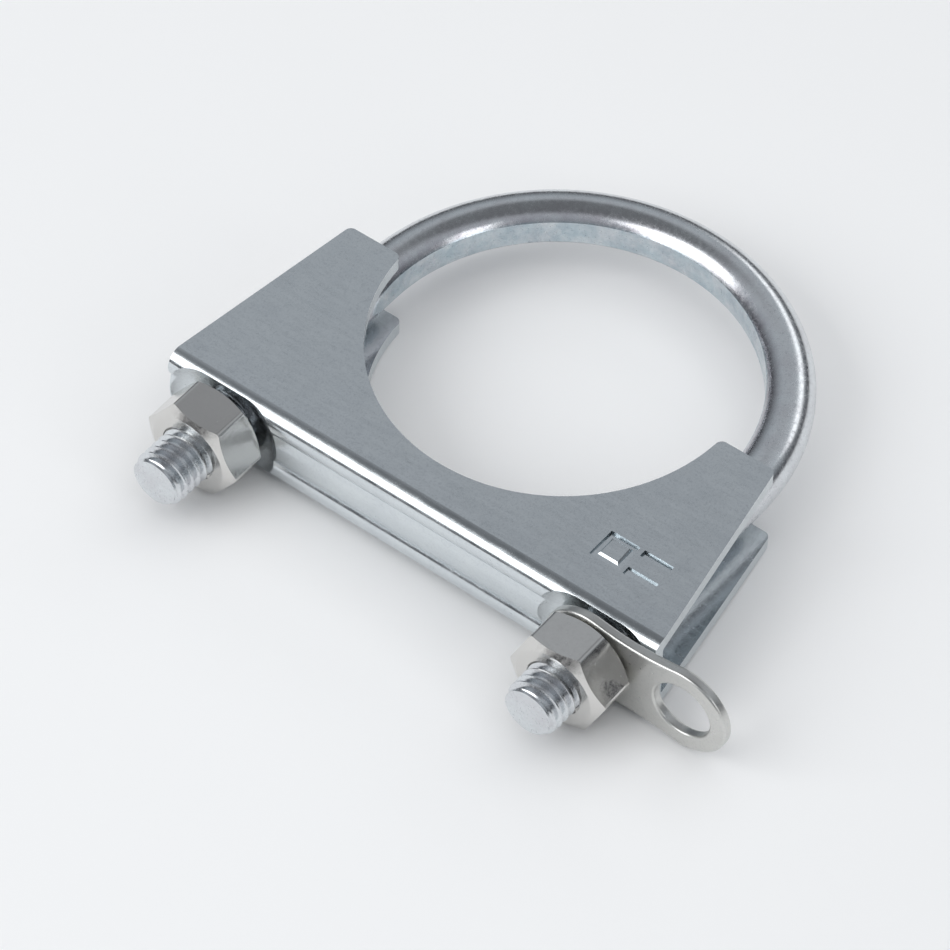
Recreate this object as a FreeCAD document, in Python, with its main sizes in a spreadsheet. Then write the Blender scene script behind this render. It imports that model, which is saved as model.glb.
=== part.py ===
"""M8 pipe clamp: a threaded U-bolt, a pressed saddle, two hex nuts and a hanger tab.

The origin is the centre of the clamped pipe. The pipe runs along Z, the saddle lies along X,
and +Y points from the nuts to the top of the bow. All lengths are millimetres.
"""
import FreeCAD, Part
import math
import os
import Sketcher

V = FreeCAD.Vector

DIMENSIONS = [
    ("pipe_diameter", 52.0),        # tube that the saddle's cradle takes
    ("leg_spacing", 60.3),          # centre to centre of the two legs
    ("rod_diameter", 7.1),          # plain rod above the rolled threads
    ("bend_flat", 0.5),             # depth pressed flat on the inside of the bow
    ("bow_lift", -0.9),             # bow centre beyond the pipe centre at rest
    ("leg_reach", 46.8),            # pipe centre to the bolt ends
    ("thread_length", 26.0),
    ("thread_crest", 7.9),
    ("thread_root", 6.55),
    ("thread_pitch", 1.25),
    ("thread_play", 0.08),          # radial gap between nut thread and bolt thread
    ("end_rounding", 1.3),
    ("saddle_height", 14.6),        # across the flange tips
    ("sheet", 2.0),
    ("web_reach", 33.2),            # pipe centre to the crest of the web
    ("tip_drop", 1.2),              # flange tips below the pipe centre
    ("tip_half_width", 34.6),
    ("root_half_width", 39.2),
    ("tip_corner", 1.0),            # rounding of the flange tips, in plan
    ("flange_splay", 1.8),          # each flange leans out by this angle
    ("fold_radius", 2.3),
    ("groove_depth", 0.5),          # shallow grooves beside both folds
    ("fold_stand", 0.1),            # folds stand this far outside the web's crest
    ("crest_radius", 8.0),
    ("leg_clearance", 0.45),        # radial gap between thread and saddle
    ("seat_diameter", 13.6),        # pressed flat under each nut
    ("seat_depth", 0.9),
    ("seat_blend", 3.0),            # radius of the soft rise round a seat
    ("nut_flats", 13.0),
    ("nut_height", 6.8),
    ("nut_face", 11.6),             # diameter of the flat ring inside the nut's chamfer
    ("nut_edge", 0.7),              # rounding of the six corners
    ("plain_nut_slack", 1.2),       # the plain nut is run back this far from its seat
    ("nut_chamfer_angle", 30.0),
    ("nut_mouth", 0.25),            # countersink stands this far outside the thread
    ("left_nut_turn", -8.0),
    ("right_nut_turn", 5.0),
    ("tab_thickness", 1.5),
    ("tab_end_radius", 6.7),
    ("tab_reach", 14.6),            # leg axis to the centre of the tab's eye
    ("tab_waist", 6.0),             # half the tab's width at its waist
    ("tab_eye", 8.4),
    ("tab_clearance", 0.35),        # radial gap between thread and tab
    ("tab_edge", 0.4),              # tumbled edges of the strap
    ("bearing_gap", 0.05),          # pieces that bear on each other stand this far apart
    ("mark_depth", 0.35),           # a plain square and two bars stamped in the upper flange
    ("mark_flank", 40.0),           # slope of the stamped grooves' sides
    ("mark_stroke", 1.0),
    ("mark_height", 4.4),
    ("mark_spread", 5.2),           # centre of the square to the centre of the bars
    ("mark_x", 28.7),
    ("mark_drop", 23.7),            # mark below the pipe centre
]

LAYOUT = [
    ("leg_x", "dimensions.leg_spacing / 2"),
    ("rod_radius", "dimensions.rod_diameter / 2"),
    ("crest_r", "dimensions.thread_crest / 2"),
    ("root_r", "dimensions.thread_root / 2"),
    ("bow_inside", "leg_x - rod_radius + dimensions.bend_flat"),
    ("half_height", "dimensions.saddle_height / 2"),
    ("pipe_radius", "dimensions.pipe_diameter / 2"),
    ("web_crest_y", "-dimensions.web_reach"),
    ("fold_y", "web_crest_y - dimensions.fold_stand"),
    ("splay", "dimensions.flange_splay * 1 deg"),
    ("fold_centre_y", "fold_y + dimensions.fold_radius"),
    ("fold_start_y", "fold_centre_y - dimensions.fold_radius * sin(splay)"),
    ("tip_y", "-dimensions.tip_drop"),
    ("fold_start_z", "half_height - (tip_y - fold_start_y) * tan(splay)"),
    ("fold_centre_z", "fold_start_z - dimensions.fold_radius * cos(splay)"),
    ("fold_turn", "acos(1 - dimensions.groove_depth / dimensions.fold_radius)"),
    ("groove_y", "fold_y + dimensions.groove_depth"),
    ("groove_z", "fold_centre_z - dimensions.fold_radius * sin(fold_turn)"),
    ("slope", "atan((groove_y - web_crest_y) / groove_z)"),
    ("crest_z", "dimensions.crest_radius * sin(slope)"),
    ("crest_y", "web_crest_y + crest_z * tan(slope / 2)"),
    ("inner_tip_z", "half_height - dimensions.sheet / cos(splay)"),
    ("inner_fold", "dimensions.fold_radius - dimensions.sheet"),
    ("inner_fold_y", "fold_y + dimensions.sheet"),
    ("inner_start_z", "fold_centre_z + inner_fold * cos(splay)"),
    ("inner_crest_y", "web_crest_y + dimensions.sheet"),
    ("seat_y", "web_crest_y + dimensions.seat_depth"),
    ("beyond", "dimensions.root_half_width + 5"),
    ("inner_start_y", "fold_centre_y - inner_fold * sin(splay)"),
    ("seat_radius", "dimensions.seat_diameter / 2"),
    ("seat_rise_r", "seat_radius + dimensions.seat_blend * sin(60)"),
    ("seat_rise_y", "seat_y - dimensions.seat_blend * (1 - cos(60))"),
    ("leg_hole_r", "crest_r + dimensions.leg_clearance"),
    ("end_face_r", "crest_r - dimensions.end_rounding"),
    ("end_shoulder_y", "-dimensions.leg_reach + dimensions.end_rounding"),
    ("thread_stop_y", "-dimensions.leg_reach + dimensions.thread_length"),
    ("runout_y", "thread_stop_y + crest_r"),
    ("flank", "tan(30)"),
    ("crest_flat", "dimensions.thread_pitch / 16"),
    ("mouth_margin", "0.03"),
    ("groove_mouth_r", "crest_r + mouth_margin"),
    ("groove_half", "dimensions.thread_pitch / 2 - crest_flat + mouth_margin * flank"),
    ("root_flat", "groove_half - (groove_mouth_r - root_r) * flank"),
    ("thread_turned", "dimensions.thread_length - dimensions.thread_pitch"),
    ("nut_minor_r", "root_r + dimensions.thread_play"),
    ("nut_groove_r", "crest_r + dimensions.thread_play"),
    ("nut_inner_r", "nut_minor_r - mouth_margin"),
    ("nut_groove_half", "crest_flat + (nut_groove_r - nut_inner_r) * flank"),
    ("nut_thread_turned", "dimensions.nut_height + dimensions.thread_pitch * 4"),
    ("half_flats", "dimensions.nut_flats / 2"),
    ("nut_corner", "dimensions.nut_flats / sqrt(3)"),
    ("half_corner", "nut_corner / 2"),
    ("nut_face_r", "dimensions.nut_face / 2"),
    ("chamfer_r", "nut_corner + 1"),
    ("chamfer_drop", "(chamfer_r - nut_face_r) * tan(dimensions.nut_chamfer_angle)"),
    ("nut_mouth_r", "crest_r + dimensions.nut_mouth"),
    ("left_nut_back_y", "seat_y - dimensions.plain_nut_slack"),
    ("tab_back_y", "fold_y - dimensions.bearing_gap"),
    ("right_nut_back_y", "tab_back_y - dimensions.tab_thickness - dimensions.bearing_gap"),
    ("tab_half_reach", "dimensions.tab_reach / 2"),
    ("tab_waist_radius", "(tab_half_reach ^ 2 + dimensions.tab_waist ^ 2 - dimensions.tab_end_radius ^ 2)"
     " / (2 * (dimensions.tab_end_radius - dimensions.tab_waist))"),
    ("tab_touch", "dimensions.tab_end_radius / (dimensions.tab_end_radius + tab_waist_radius)"),
    ("tab_near_x", "tab_half_reach * tab_touch"),
    ("tab_far_x", "dimensions.tab_reach - tab_near_x"),
    ("tab_touch_z", "(dimensions.tab_waist + tab_waist_radius) * tab_touch"),
    ("tab_hole_r", "crest_r + dimensions.tab_clearance"),
    ("tab_eye_r", "dimensions.tab_eye / 2"),
    ("square_half", "dimensions.mark_height / 2"),
    ("square_hollow", "square_half - dimensions.mark_stroke"),
    ("mark_margin", "0.1"),
    ("mark_cut", "dimensions.mark_depth + mark_margin"),
    ("mark_level", "half_height - (dimensions.mark_drop - dimensions.tip_drop) * tan(splay) + mark_margin"),
]


def add_sheet(name, rows):
    """A spreadsheet with the names in column A and the aliased cells in column B."""
    page = doc.addObject("Spreadsheet::Sheet", name)
    for row, (alias, content) in enumerate(rows, start=1):
        page.set("A%d" % row, alias)
        page.set("B%d" % row, str(content))
        page.setAlias("B%d" % row, alias)
    doc.recompute()
    return page


doc = FreeCAD.newDocument("pipe_clamp")
dimensions = add_sheet("dimensions", DIMENSIONS)
layout = add_sheet("layout", [(alias, "=" + formula) for alias, formula in LAYOUT])
ORIGIN = (-1, 1)                    # a sketch's own origin, as geometry and point numbers


def sheet_of(term):
    return dimensions if term.lstrip("-") in dict(DIMENSIONS) else layout


def number(term):
    """The value of a cell named by term, which may carry a minus sign."""
    if term == "0":
        return 0.0
    value = float(sheet_of(term).get(term.lstrip("-")))
    return -value if term.startswith("-") else value


def formula(term):
    sign = "-" if term.startswith("-") else ""
    return sign + sheet_of(term).Name + "." + term.lstrip("-")


def new_body(name):
    body = doc.addObject("PartDesign::Body", name)
    body.Label = name
    return body


def new_sketch(body, plane_role, name, offset=None, turn=None):
    """A sketch on one of the body's own origin planes, moved by cells of the sheets."""
    plane = next(f for f in body.Origin.OriginFeatures if f.Role == plane_role)
    sketch = body.newObject("Sketcher::SketchObject", name)
    sketch.AttachmentSupport = [(plane, "")]
    sketch.MapMode = "FlatFace"
    for axis, term in (offset or {}).items():
        sketch.setExpression("AttachmentOffset.Base." + axis, term)
    if turn:
        sketch.setExpression("AttachmentOffset.Rotation.Angle", turn)
    return sketch


def bind(sketch, kind, geometry, term):
    """Adds a dimension to the sketch and ties it to a cell."""
    value = number(term)
    index = sketch.addConstraint(Sketcher.Constraint(kind, *geometry, value))
    if term != "0":
        sketch.setExpression("Constraints[%d]" % index, formula(term))
    return index


def bind_point(sketch, point, x_term, y_term):
    bind(sketch, "DistanceX", (*ORIGIN, *point), x_term)
    bind(sketch, "DistanceY", (*ORIGIN, *point), y_term)


def arc_between(start, end, radius, turn, major=False):
    """An arc of a circle from start to end, turning left (+1) or right (-1)."""
    chord = end - start
    left = V(-chord.y, chord.x, 0).normalize() * turn
    rise = math.sqrt(max(radius ** 2 - chord.Length ** 2 / 4, 0))
    centre = (start + end) / 2 + left * (-rise if major else rise)
    first, last = (start, end) if turn > 0 else (end, start)
    angles = [math.atan2(p.y - centre.y, p.x - centre.x) for p in (first, last)]
    if angles[1] < angles[0]:
        angles[1] += 2 * math.pi
    return Part.ArcOfCircle(Part.Circle(centre, V(0, 0, 1), radius), *angles)


def outline(sketch, corners, arcs=None):
    """A closed outline through the corners. arcs gives some sides a radius, a turn and a major flag."""
    arcs = arcs or {}
    points = [V(number(x), number(y), 0) for x, y in corners]
    ends = []
    for i, start in enumerate(points):
        end = points[(i + 1) % len(points)]
        if i in arcs:
            radius_term, turn, major = arcs[i]
            side = sketch.addGeometry(arc_between(start, end, number(radius_term), turn, major))
            ends.append((side, 1, 2) if turn > 0 else (side, 2, 1))
        else:
            side = sketch.addGeometry(Part.LineSegment(start, end))
            ends.append((side, 1, 2))
    for i, (side, first, last) in enumerate(ends):
        following = ends[(i + 1) % len(ends)]
        sketch.addConstraint(Sketcher.Constraint("Coincident", side, last, following[0], following[1]))
    for (side, first, last), (x_term, y_term) in zip(ends, corners):
        bind_point(sketch, (side, first), x_term, y_term)
    for i, (radius_term, turn, major) in arcs.items():
        bind(sketch, "Radius", (ends[i][0],), radius_term)


def circle(sketch, x_term, y_term, radius_term):
    centre = V(number(x_term), number(y_term), 0)
    ring = sketch.addGeometry(Part.Circle(centre, V(0, 0, 1), number(radius_term)))
    bind_point(sketch, (ring, 3), x_term, y_term)
    bind(sketch, "Radius", (ring,), radius_term)


def feature(body, kind, name, sketch, **settings):
    """A PartDesign feature on a sketch. A text setting is an expression, any other is a value."""
    made = body.newObject("PartDesign::" + kind, name)
    made.Profile = sketch
    for key, value in settings.items():
        if isinstance(value, str) and key in ("Length", "Angle", "TaperAngle"):
            made.setExpression(key, value)
        else:
            setattr(made, key, value)
    sketch.Visibility = False
    return made


def cut_through(body, name, sketch):
    return feature(body, "Pocket", name, sketch, Type="ThroughAll", Midplane=True)


def helix_cut(body, name, sketch, height):
    """A right-hand groove that climbs along the sketch's own upright axis."""
    doc.recompute()
    made = feature(body, "SubtractiveHelix", name, sketch, ReferenceAxis=(sketch, ["V_Axis"]),
                   Mode=0, LeftHanded=False, Reversed=False)
    made.setExpression("Pitch", "dimensions.thread_pitch")
    made.setExpression("Height", height)
    return made


def rounded(body, name, radius, picks):
    """A fillet on those edges of the body's present shape that picks accepts."""
    doc.recompute()
    base = body.Tip
    names = ["Edge%d" % i for i, edge in enumerate(base.Shape.Edges, start=1) if picks(edge)]
    made = body.newObject("PartDesign::Fillet", name)
    made.Base = (base, names)
    made.setExpression("Radius", radius)
    return made


def bow_path(body):
    """Centre line of the rod: a leg, a half circle and a leg."""
    path = new_sketch(body, "XY_Plane", "bow_path")
    leg_x, top, end = number("leg_x"), number("bow_lift"), -number("leg_reach")
    right = path.addGeometry(Part.LineSegment(V(leg_x, end, 0), V(leg_x, top, 0)))
    bow = path.addGeometry(Part.ArcOfCircle(Part.Circle(V(0, top, 0), V(0, 0, 1), leg_x), 0, math.pi))
    left = path.addGeometry(Part.LineSegment(V(-leg_x, top, 0), V(-leg_x, end, 0)))
    path.addConstraint(Sketcher.Constraint("Coincident", right, 2, bow, 1))
    path.addConstraint(Sketcher.Constraint("Coincident", bow, 2, left, 1))
    bind_point(path, (right, 1), "leg_x", "-leg_reach")
    bind_point(path, (left, 2), "-leg_x", "-leg_reach")
    bind_point(path, (bow, 3), "0", "bow_lift")
    bind_point(path, (bow, 1), "leg_x", "bow_lift")
    bind(path, "DistanceY", (*ORIGIN, bow, 2), "bow_lift")
    return path


def make_u_bolt():
    """The rod bent to a U, pressed flat inside the bow, with a thread rolled on each leg."""
    body = new_body("u_bolt")
    path = bow_path(body)
    section = new_sketch(body, "XZ_Plane", "rod_section", {"z": "dimensions.leg_reach"})
    circle(section, "leg_x", "0", "rod_radius")
    doc.recompute()
    feature(body, "AdditivePipe", "bent_rod", section, Spine=(path, []))
    doc.recompute()
    inside = new_sketch(body, "XY_Plane", "bow_inside_face")
    circle(inside, "0", "bow_lift", "bow_inside")
    cut_through(body, "flattened_inside", inside)
    for side, leg in (("right", "layout.leg_x"), ("left", "-layout.leg_x")):
        make_thread(body, side, leg)
    return body


def make_thread(body, side, leg):
    stud = new_sketch(body, "XY_Plane", side + "_stud", {"x": leg})
    outline(stud, [("0", "-leg_reach"), ("end_face_r", "-leg_reach"), ("crest_r", "end_shoulder_y"),
                   ("crest_r", "thread_stop_y"), ("0", "runout_y")],
            {1: ("end_rounding", 1, False)})
    feature(body, "Revolution", side + "_stud_blank", stud, ReferenceAxis=(stud, ["V_Axis"]), Angle=360.0)
    groove = new_sketch(body, "XY_Plane", side + "_thread_groove", {"x": leg, "y": "-dimensions.leg_reach"})
    outline(groove, [("root_r", "-root_flat"), ("groove_mouth_r", "-groove_half"),
                     ("groove_mouth_r", "groove_half"), ("root_r", "root_flat")])
    helix_cut(body, side + "_thread", groove, "layout.thread_turned")


def make_saddle():
    """A pressed channel: two flanges with a cradle cut in them, folded from a grooved web."""
    body = new_body("saddle")
    section = new_sketch(body, "YZ_Plane", "channel_section")
    outline(section, [
        ("tip_y", "half_height"), ("fold_start_y", "fold_start_z"), ("groove_y", "groove_z"),
        ("crest_y", "crest_z"), ("crest_y", "-crest_z"), ("groove_y", "-groove_z"),
        ("fold_start_y", "-fold_start_z"), ("tip_y", "-half_height"), ("tip_y", "-inner_tip_z"),
        ("inner_start_y", "-inner_start_z"), ("inner_fold_y", "-fold_centre_z"), ("inner_crest_y", "0"),
        ("inner_fold_y", "fold_centre_z"), ("inner_start_y", "inner_start_z"), ("tip_y", "inner_tip_z")],
        {1: ("fold_radius", 1, False), 3: ("crest_radius", 1, False), 5: ("fold_radius", 1, False),
         9: ("inner_fold", -1, False), 12: ("inner_fold", -1, False)})
    feature(body, "Pad", "channel", section, Length="dimensions.root_half_width * 2", Midplane=True)
    cradle = new_sketch(body, "XY_Plane", "cradle_circle")
    circle(cradle, "0", "0", "pipe_radius")
    cut_through(body, "cradle", cradle)
    for side, sign in (("right", ""), ("left", "-")):
        taper = new_sketch(body, "XY_Plane", side + "_taper_line")
        outline(taper, [(sign + "tip_half_width", "tip_y"), (sign + "root_half_width", "fold_start_y"),
                        (sign + "beyond", "fold_start_y"), (sign + "beyond", "beyond"),
                        (sign + "tip_half_width", "beyond")])
        cut_through(body, side + "_taper", taper)
        seat = new_sketch(body, "XY_Plane", side + "_seat_line", {"x": sign + "layout.leg_x"})
        outline(seat, [("0", "seat_y"), ("0", "seat_rise_y"), ("seat_rise_r", "seat_rise_y"),
                       ("seat_radius", "seat_y")], {2: ("seat_blend", 1, False)})
        feature(body, "Groove", side + "_seat", seat, ReferenceAxis=(seat, ["V_Axis"]), Angle=360.0)
        hole = new_sketch(body, "XZ_Plane", side + "_hole_circle", {"z": "dimensions.web_reach"})
        circle(hole, sign + "leg_x", "0", "leg_hole_r")
        feature(body, "Pocket", side + "_leg_hole", hole, Length="dimensions.sheet * 2")
    stamp_mark(body)
    rounded(body, "tip_corners", "dimensions.tip_corner", is_tip_corner)
    return body


def is_tip_corner(edge):
    """An upright edge at the end of a flange tip."""
    box = edge.BoundBox
    return box.ZLength > number("inner_fold") and max(box.XLength, box.YLength) < 0.01 \
        and abs(box.YMin - number("tip_y")) < 0.01


def stamp_mark(body):
    """The size mark: a hollow square beside two level bars, pressed into the upper flange."""
    mark = new_sketch(body, "XY_Plane", "mark_lines", {
        "x": "dimensions.mark_x - dimensions.mark_spread / 2", "y": "-dimensions.mark_drop",
        "z": "layout.mark_level"})
    for half in ("square_half", "square_hollow"):
        outline(mark, [(half, half), ("-" + half, half), ("-" + half, "-" + half), (half, "-" + half)])
    feature(body, "Pocket", "mark_square", mark, Length="layout.mark_cut", TaperAngle="dimensions.mark_flank")
    bars = new_sketch(body, "XY_Plane", "mark_bars", {
        "x": "dimensions.mark_x + dimensions.mark_spread / 2", "y": "-dimensions.mark_drop",
        "z": "layout.mark_level"})
    for sign in ("", "-"):
        outline(bars, [("-square_half", sign + "square_hollow"), ("square_half", sign + "square_hollow"),
                       ("square_half", sign + "square_half"), ("-square_half", sign + "square_half")])
    feature(body, "Pocket", "mark_bars_cut", bars, Length="layout.mark_cut", TaperAngle="dimensions.mark_flank")


def make_nut(name, leg, turn, back_y):
    """A hex nut with chamfered faces and a full-depth thread that meshes with the leg's."""
    body = new_body(name)
    hexagon = new_sketch(body, "XZ_Plane", "hexagon", {"x": leg, "z": "-" + back_y}, turn)
    corners = [("nut_corner", "0"), ("half_corner", "half_flats"), ("-half_corner", "half_flats"),
               ("-nut_corner", "0"), ("-half_corner", "-half_flats"), ("half_corner", "-half_flats")]
    outline(hexagon, corners)
    feature(body, "Pad", "hex_blank", hexagon, Length="dimensions.nut_height")
    rounded(body, "hex_corners", "dimensions.nut_edge", lambda edge: edge.BoundBox.YLength > 0.01)
    bore = new_sketch(body, "XZ_Plane", "bore_circle", {"x": leg, "z": "-" + back_y})
    circle(bore, "0", "0", "nut_minor_r")
    cut_through(body, "bore", bore)
    for face, flip in (("back", "-"), ("front", "")):
        corner = new_sketch(body, "XY_Plane", face + "_corner_line", {"x": leg, "y": face_term(back_y, face)})
        outline(corner, [("nut_face_r", "0"), ("chamfer_r", "0"), ("chamfer_r", flip + "chamfer_drop")])
        feature(body, "Groove", face + "_chamfer", corner, ReferenceAxis=(corner, ["V_Axis"]), Angle=360.0)
        mouth = new_sketch(body, "XY_Plane", face + "_mouth_line", {"x": leg, "y": face_term(back_y, face)})
        outline(mouth, [("0", "0"), ("nut_mouth_r", "0"), ("0", flip + "nut_mouth_r")])
        feature(body, "Groove", face + "_mouth", mouth, ReferenceAxis=(mouth, ["V_Axis"]), Angle=360.0)
    start = new_sketch(body, "XY_Plane", "thread_groove", {"x": leg, "y": nut_thread_start(back_y)})
    outline(start, [("nut_groove_r", "-crest_flat"), ("nut_inner_r", "-nut_groove_half"),
                    ("nut_inner_r", "nut_groove_half"), ("nut_groove_r", "crest_flat")])
    helix_cut(body, "thread", start, "layout.nut_thread_turned")
    return body


def face_term(back_y, face):
    return back_y + (" - dimensions.nut_height" if face == "front" else "")


def nut_thread_start(back_y):
    """Half a pitch off the leg's own groove, at least one pitch outside the nut's front face."""
    turns = "floor((%s - dimensions.nut_height + dimensions.leg_reach) / dimensions.thread_pitch)" % back_y
    return "(%s - 1.5) * dimensions.thread_pitch - dimensions.leg_reach" % turns


def make_tab():
    """A flat tumbled strap with an eye, held under the right nut."""
    body = new_body("hanger_tab")
    shape = new_sketch(body, "XZ_Plane", "strap_outline", {"x": "layout.leg_x", "z": "-layout.tab_back_y"})
    outline(shape, [("tab_near_x", "-tab_touch_z"), ("tab_far_x", "-tab_touch_z"),
                    ("tab_far_x", "tab_touch_z"), ("tab_near_x", "tab_touch_z")],
            {0: ("tab_waist_radius", -1, False), 1: ("tab_end_radius", 1, True),
             2: ("tab_waist_radius", -1, False), 3: ("tab_end_radius", 1, True)})
    feature(body, "Pad", "strap", shape, Length="dimensions.tab_thickness")
    for name, x_term, radius in (("leg_hole", "0", "tab_hole_r"), ("eye", "tab_reach", "tab_eye_r")):
        hole = new_sketch(body, "XZ_Plane", name + "_circle", {"x": "layout.leg_x", "z": "-layout.tab_back_y"})
        circle(hole, x_term, "0", radius)
        cut_through(body, name, hole)
    rounded(body, "tumbled_edges", "dimensions.tab_edge", lambda edge: edge.BoundBox.YLength < 0.01)
    return body


def export(bodies):
    """Writes each sub-part once every object is sound."""
    for item in doc.Objects:
        if "Invalid" in item.State or "Error" in item.State:
            raise RuntimeError("%s is %s" % (item.Label, item.State))
    os.makedirs("parts", exist_ok=True)
    for body in bodies:
        shape = body.Shape
        if shape.isNull() or not shape.isValid() or len(shape.Solids) != 1:
            raise RuntimeError("%s has no sound single solid" % body.Label)
        shape.exportStep("parts/%s.step" % body.Label)
        print(body.Label, round(shape.Volume, 1), "mm3")


left_back = "layout.left_nut_back_y"
right_back = "layout.right_nut_back_y"
pieces = [
    make_u_bolt(),
    make_saddle(),
    make_nut("nut_left", "-layout.leg_x", "dimensions.left_nut_turn", left_back),
    make_nut("nut_right", "layout.leg_x", "dimensions.right_nut_turn", right_back),
    make_tab(),
]
doc.recompute()
export(pieces)
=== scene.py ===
"""An M8 pipe clamp on a pale bench: U-bolt, pressed saddle, two nuts and a hanger tab, zinc plated."""
import math

import bpy
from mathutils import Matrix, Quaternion, Vector


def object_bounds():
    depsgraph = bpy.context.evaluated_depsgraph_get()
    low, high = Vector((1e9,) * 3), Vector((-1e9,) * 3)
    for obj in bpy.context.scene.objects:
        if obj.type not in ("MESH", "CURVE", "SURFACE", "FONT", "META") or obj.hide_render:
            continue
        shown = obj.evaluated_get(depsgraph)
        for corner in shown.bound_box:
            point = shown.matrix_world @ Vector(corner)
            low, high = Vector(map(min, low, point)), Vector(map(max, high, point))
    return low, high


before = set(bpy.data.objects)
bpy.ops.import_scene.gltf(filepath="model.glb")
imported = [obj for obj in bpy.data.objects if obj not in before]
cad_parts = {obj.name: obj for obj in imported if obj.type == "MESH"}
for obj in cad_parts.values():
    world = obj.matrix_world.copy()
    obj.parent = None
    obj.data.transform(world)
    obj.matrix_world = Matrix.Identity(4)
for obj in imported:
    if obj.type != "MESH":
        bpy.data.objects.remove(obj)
cad_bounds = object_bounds()

# ---------------------------------------------------------------------------------------------------
# U-bolt: one length of drawn steel rod, thread rolled on both ends, bent to a bow and pressed flat
# on the inside, then zinc plated. The drawing marks run along the rod and the plating is mottled.


def add_socket(group, name, kind, direction, value=None):
    socket = group.interface.new_socket(name=name, in_out=direction, socket_type="NodeSocket" + kind)
    if value is not None:
        socket.default_value = value
    return socket


def link(tree, source, output, target, entry):
    tree.links.new(source.outputs[output], target.inputs[entry])


def add_noise(tree, scale, detail, roughness):
    noise = tree.nodes.new("ShaderNodeTexNoise")
    noise.inputs["Scale"].default_value = scale
    noise.inputs["Detail"].default_value = detail
    noise.inputs["Roughness"].default_value = roughness
    return noise


def spread(tree, source, output, low, high, to_low, to_high):
    """Stretches a value between low and high to another range, and stops it there."""
    node = tree.nodes.new("ShaderNodeMapRange")
    for entry, value in (("From Min", low), ("From Max", high), ("To Min", to_low), ("To Max", to_high)):
        node.inputs[entry].default_value = value
    link(tree, source, output, node, "Value")
    return node


def build_zinc_group():
    """Colour, roughness and fine relief of zinc plate: cloudy tint, dull specks and drawn or rolled grain."""
    group = bpy.data.node_groups.new("zinc_plate", "ShaderNodeTree")
    add_socket(group, "Coordinates", "Vector", "INPUT")
    add_socket(group, "Grain Coordinates", "Vector", "INPUT")
    add_socket(group, "Plate", "Color", "INPUT")
    add_socket(group, "Cloud", "Color", "INPUT")
    add_socket(group, "Cloud Amount", "Float", "INPUT", 0.5)
    add_socket(group, "Speck Amount", "Float", "INPUT", 0.3)
    add_socket(group, "Roughness", "Float", "INPUT", 0.25)
    add_socket(group, "Grain Depth", "Float", "INPUT", 0.1)
    add_socket(group, "Color", "Color", "OUTPUT")
    add_socket(group, "Roughness", "Float", "OUTPUT")
    add_socket(group, "Height", "Float", "OUTPUT")
    entry = group.nodes.new("NodeGroupInput")
    result = group.nodes.new("NodeGroupOutput")

    cloud = add_noise(group, 260.0, 5.0, 0.6)
    link(group, entry, "Coordinates", cloud, "Vector")
    cloud_mask = spread(group, cloud, "Fac", 0.38, 0.66, 0.0, 1.0)
    cloud_share = group.nodes.new("ShaderNodeMath")
    cloud_share.operation = "MULTIPLY"
    link(group, cloud_mask, "Result", cloud_share, 0)
    link(group, entry, "Cloud Amount", cloud_share, 1)
    tinted = group.nodes.new("ShaderNodeMix")
    tinted.data_type = "RGBA"
    link(group, cloud_share, "Value", tinted, "Factor")
    group.links.new(entry.outputs["Plate"], tinted.inputs["A"])
    group.links.new(entry.outputs["Cloud"], tinted.inputs["B"])

    speck = add_noise(group, 3200.0, 3.0, 0.7)
    link(group, entry, "Coordinates", speck, "Vector")
    speck_mask = spread(group, speck, "Fac", 0.5, 0.72, 0.0, 1.0)
    speck_share = group.nodes.new("ShaderNodeMath")
    speck_share.operation = "MULTIPLY"
    link(group, speck_mask, "Result", speck_share, 0)
    link(group, entry, "Speck Amount", speck_share, 1)
    darkened = group.nodes.new("ShaderNodeMix")
    darkened.data_type = "RGBA"
    darkened.blend_type = "MULTIPLY"
    darkened.inputs["B"].default_value = (0.55, 0.56, 0.6, 1.0)
    link(group, speck_share, "Value", darkened, "Factor")
    group.links.new(tinted.outputs["Result"], darkened.inputs["A"])
    group.links.new(darkened.outputs["Result"], result.inputs["Color"])

    grain = add_noise(group, 1500.0, 4.0, 0.65)
    link(group, entry, "Grain Coordinates", grain, "Vector")
    rough_grain = spread(group, grain, "Fac", 0.3, 0.7, -0.06, 0.08)
    rough_sum = group.nodes.new("ShaderNodeMath")
    rough_sum.operation = "ADD"
    link(group, entry, "Roughness", rough_sum, 0)
    link(group, rough_grain, "Result", rough_sum, 1)
    rough_speck = group.nodes.new("ShaderNodeMath")
    rough_speck.operation = "MULTIPLY_ADD"
    rough_speck.inputs[1].default_value = 0.35
    link(group, speck_share, "Value", rough_speck, 0)
    link(group, rough_sum, "Value", rough_speck, 2)
    link(group, rough_speck, "Value", result, "Roughness")

    grain_height = group.nodes.new("ShaderNodeMath")
    grain_height.operation = "MULTIPLY"
    link(group, grain, "Fac", grain_height, 0)
    link(group, entry, "Grain Depth", grain_height, 1)
    speck_height = group.nodes.new("ShaderNodeMath")
    speck_height.operation = "MULTIPLY_ADD"
    speck_height.inputs[1].default_value = -0.25
    link(group, speck_share, "Value", speck_height, 0)
    link(group, grain_height, "Value", speck_height, 2)
    link(group, speck_height, "Value", result, "Height")
    return group


zinc_plate = build_zinc_group()


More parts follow.
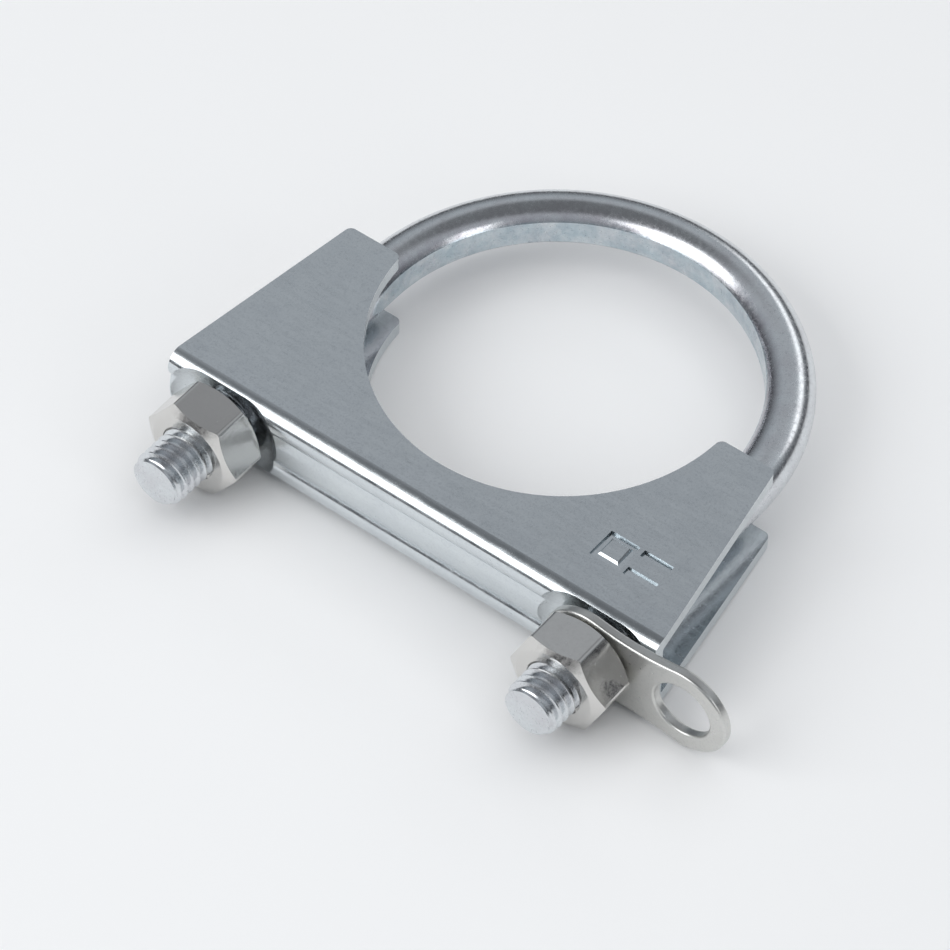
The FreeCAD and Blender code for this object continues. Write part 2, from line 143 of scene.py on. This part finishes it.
def zinc_material(name, plate, cloud, cloud_amount, speck_amount, roughness, grain_depth, grain_stretch,
                  relief):
    """A bright zinc finish. grain_stretch squeezes the grain along an axis, relief is its depth in metres."""
    material = bpy.data.materials.new(name)
    material.use_nodes = True
    tree = material.node_tree
    shader = tree.nodes["Principled BSDF"]
    shader.inputs["Metallic"].default_value = 1.0
    places = tree.nodes.new("ShaderNodeTexCoord")
    mapping = tree.nodes.new("ShaderNodeMapping")
    mapping.inputs["Scale"].default_value = grain_stretch
    link(tree, places, "Object", mapping, "Vector")
    finish = tree.nodes.new("ShaderNodeGroup")
    finish.node_tree = zinc_plate
    link(tree, places, "Object", finish, "Coordinates")
    link(tree, mapping, "Vector", finish, "Grain Coordinates")
    finish.inputs["Plate"].default_value = (*plate, 1.0)
    finish.inputs["Cloud"].default_value = (*cloud, 1.0)
    finish.inputs["Cloud Amount"].default_value = cloud_amount
    finish.inputs["Speck Amount"].default_value = speck_amount
    finish.inputs["Roughness"].default_value = roughness
    finish.inputs["Grain Depth"].default_value = grain_depth
    bump = tree.nodes.new("ShaderNodeBump")
    bump.inputs["Strength"].default_value = 1.0
    bump.inputs["Distance"].default_value = relief
    link(tree, finish, "Height", bump, "Height")
    link(tree, finish, "Color", shader, "Base Color")
    link(tree, finish, "Roughness", shader, "Roughness")
    link(tree, bump, "Normal", shader, "Normal")
    return material


def finish_node(name, material):
    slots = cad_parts[name].data.materials
    slots.clear()
    slots.append(material)


def tint_where(material, coordinate, low, high, tint, amount):
    """Tints the metal in clouds: fully where the coordinate is below low, and not at all above high."""
    tree = material.node_tree
    shader = tree.nodes["Principled BSDF"]
    former = shader.inputs["Base Color"].links[0].from_socket
    zone = spread(tree, coordinate, "Value", low, high, 1.0, 0.0)
    patches = add_noise(tree, 420.0, 6.0, 0.65)
    places = tree.nodes.new("ShaderNodeTexCoord")
    link(tree, places, "Object", patches, "Vector")
    patch_mask = spread(tree, patches, "Fac", 0.35, 0.62, 0.25, 1.0)
    share = tree.nodes.new("ShaderNodeMath")
    share.operation = "MULTIPLY"
    link(tree, zone, "Result", share, 0)
    link(tree, patch_mask, "Result", share, 1)
    weight = tree.nodes.new("ShaderNodeMath")
    weight.operation = "MULTIPLY"
    weight.inputs[1].default_value = amount
    link(tree, share, "Value", weight, 0)
    mix = tree.nodes.new("ShaderNodeMix")
    mix.data_type = "RGBA"
    mix.blend_type = "MULTIPLY"
    mix.inputs["B"].default_value = (*tint, 1.0)
    link(tree, weight, "Value", mix, "Factor")
    tree.links.new(former, mix.inputs["A"])
    tree.links.new(mix.outputs["Result"], shader.inputs["Base Color"])


rod_zinc = zinc_material("rod_zinc", plate=(0.74, 0.77, 0.79), cloud=(0.56, 0.53, 0.56), cloud_amount=0.35,
                         speck_amount=0.3, roughness=0.2, grain_depth=0.4, grain_stretch=(1.0, 1.0, 1.0),
                         relief=0.000012)
BOW_CENTRE = (0.0, -0.0009, 0.0)
# The strip that was pressed flat gets a bluish tint: a painted reflection of the pale floor below it.
FLAT_STRIP_PAINTED_REFLECTION = (0.0271, 0.0273)       # from the bow's centre: the strip that was pressed flat
# The band beside the flat strip is darkened and tinted purple-brown: painted shade for the dark surroundings
# it reflects, over a mottle of tarnish.
TARNISH_AND_PAINTED_SHADE_BAND = (0.0276, 0.0290)   # and the darker band that fades out beside it

rod_tree = rod_zinc.node_tree
rod_places = rod_tree.nodes.new("ShaderNodeTexCoord")
rod_flat = rod_tree.nodes.new("ShaderNodeVectorMath")
rod_flat.operation = "MULTIPLY"
rod_flat.inputs[1].default_value = (1.0, 1.0, 0.0)
link(rod_tree, rod_places, "Object", rod_flat, "Vector")
rod_reach = rod_tree.nodes.new("ShaderNodeVectorMath")
rod_reach.operation = "DISTANCE"
rod_reach.inputs[1].default_value = BOW_CENTRE
link(rod_tree, rod_flat, "Vector", rod_reach, 0)
# Painted shade plus tarnish: darkens the band beside the flat strip in purple-brown patches, standing in for
# the dark reflection there.
tint_where(rod_zinc, rod_reach, *TARNISH_AND_PAINTED_SHADE_BAND, (0.56, 0.48, 0.54), 0.5)
# Painted reflection: tints the flat strip bluish in patches, standing in for the floor it reflects.
tint_where(rod_zinc, rod_reach, *FLAT_STRIP_PAINTED_REFLECTION, (0.80, 0.98, 1.0), 0.9)
finish_node("u_bolt", rod_zinc)

# ---------------------------------------------------------------------------------------------------
# Saddle: a blank of 2 mm sheet with a cradle cut in both flanges, folded to a channel and plated.
# The legs pass through two holes in its web.

sheet_zinc = zinc_material("sheet_zinc", plate=(0.70, 0.74, 0.76), cloud=(0.63, 0.67, 0.70), cloud_amount=0.4,
                           speck_amount=0.25, roughness=0.17, grain_depth=0.3, grain_stretch=(0.2, 1.0, 1.0),
                           relief=0.000008)
finish_node("saddle", sheet_zinc)

# ---------------------------------------------------------------------------------------------------
# Nuts: two cold-formed M8 hexagon nuts, chamfered on both faces, plated a little warmer than the sheet.

nut_zinc = zinc_material("nut_zinc", plate=(0.70, 0.69, 0.67), cloud=(0.64, 0.63, 0.61), cloud_amount=0.25,
                         speck_amount=0.1, roughness=0.18, grain_depth=0.3, grain_stretch=(1.0, 1.0, 1.0),
                         relief=0.000008)
for nut in ("nut_left", "nut_right"):
    finish_node(nut, nut_zinc)

# ---------------------------------------------------------------------------------------------------
# Hanger tab: a short strap of 1.5 mm steel with an open eye, tumbled and plated, under the right nut.

tab_zinc = zinc_material("tab_zinc", plate=(0.68, 0.68, 0.66), cloud=(0.58, 0.58, 0.56), cloud_amount=0.3,
                         speck_amount=0.2, roughness=0.32, grain_depth=0.4, grain_stretch=(1.0, 1.0, 1.0),
                         relief=0.000015)
finish_node("hanger_tab", tab_zinc)

# ---------------------------------------------------------------------------------------------------
# The bench: a plain pale floor under the lower flange, soft lights, and the camera.

floor_level = cad_bounds[0][2]
bpy.ops.object.select_all(action="DESELECT")
bpy.ops.mesh.primitive_plane_add(size=3.0, location=(0.0, 0.0, floor_level))
floor = bpy.context.object
floor.name = "bench"
paper = bpy.data.materials.new("bench_paper")
paper.use_nodes = True
paper.node_tree.nodes["Principled BSDF"].inputs["Base Color"].default_value = (0.9, 0.9, 0.9, 1.0)
paper.node_tree.nodes["Principled BSDF"].inputs["Roughness"].default_value = 0.8
floor.data.materials.append(paper)


def point_at(thing, target):
    """Turns a light or a camera to look at a point."""
    thing.rotation_euler = (Vector(target) - thing.location).to_track_quat("-Z", "Y").to_euler()


def softbox(name, place, target, width, height, power):
    light = bpy.data.lights.new(name, "AREA")
    light.shape = "RECTANGLE"
    light.size = width
    light.size_y = height
    light.energy = power
    lamp = bpy.data.objects.new(name, light)
    bpy.context.scene.collection.objects.link(lamp)
    lamp.location = place
    point_at(lamp, target)
    return lamp


middle = (0.0, -0.01, 0.0)
softbox("front_box", (-0.34, -0.58, 0.50), middle, 0.75, 0.55, 3.2)
softbox("back_box", (0.1, 0.75, 0.40), middle, 0.8, 0.20, 0.6)
softbox("right_box", (0.75, -0.1, 0.30), middle, 0.25, 0.5, 0.7)
floor_fill = softbox("floor_fill", (0.0, 0.15, 0.95), middle, 1.4, 1.4, 5.6)
floor_fill.visible_glossy = False

world = bpy.data.worlds.new("studio")
world.use_nodes = True
bpy.context.scene.world = world
room = world.node_tree
background = room.nodes["Background"]
direction = room.nodes.new("ShaderNodeTexCoord")
split = room.nodes.new("ShaderNodeSeparateXYZ")
link(room, direction, "Generated", split, "Vector")
height_ramp = room.nodes.new("ShaderNodeValToRGB")
height_ramp.color_ramp.elements[0].position = 0.04
height_ramp.color_ramp.elements[0].color = (0.03, 0.03, 0.035, 1.0)
height_ramp.color_ramp.elements[1].position = 0.62
height_ramp.color_ramp.elements[1].color = (0.42, 0.45, 0.48, 1.0)
for place, grey in ((0.80, 0.44), (0.90, 0.16)):
    height_ramp.color_ramp.elements.new(place).color = (grey, grey * 1.04, grey * 1.1, 1.0)
link(room, split, "Z", height_ramp, "Fac")
link(room, height_ramp, "Color", background, "Color")
background.inputs["Strength"].default_value = 1.0

CAMERA_AIM = Vector((0.00125, -0.0203, 0.0))
CAMERA_DISTANCE = 0.5963
CAMERA_AZIMUTH = math.radians(37.564)
CAMERA_ELEVATION = math.radians(49.358)
CAMERA_ROLL = math.radians(0.457)
towards_camera = Vector((math.sin(CAMERA_AZIMUTH) * math.cos(CAMERA_ELEVATION),
                         -math.cos(CAMERA_AZIMUTH) * math.cos(CAMERA_ELEVATION),
                         math.sin(CAMERA_ELEVATION)))
camera_data = bpy.data.cameras.new("camera")
camera_data.lens = 175.78
camera_data.sensor_width = 36.0
camera_data.clip_start = 0.01
camera = bpy.data.objects.new("camera", camera_data)
bpy.context.scene.collection.objects.link(camera)
camera.location = CAMERA_AIM + towards_camera * CAMERA_DISTANCE
camera.rotation_mode = "QUATERNION"
level = (-towards_camera).to_track_quat("-Z", "Y")
camera.rotation_quaternion = level @ Quaternion((0.0, 0.0, 1.0), CAMERA_ROLL)
bpy.context.scene.camera = camera
bpy.context.scene.view_settings.view_transform = "Standard"
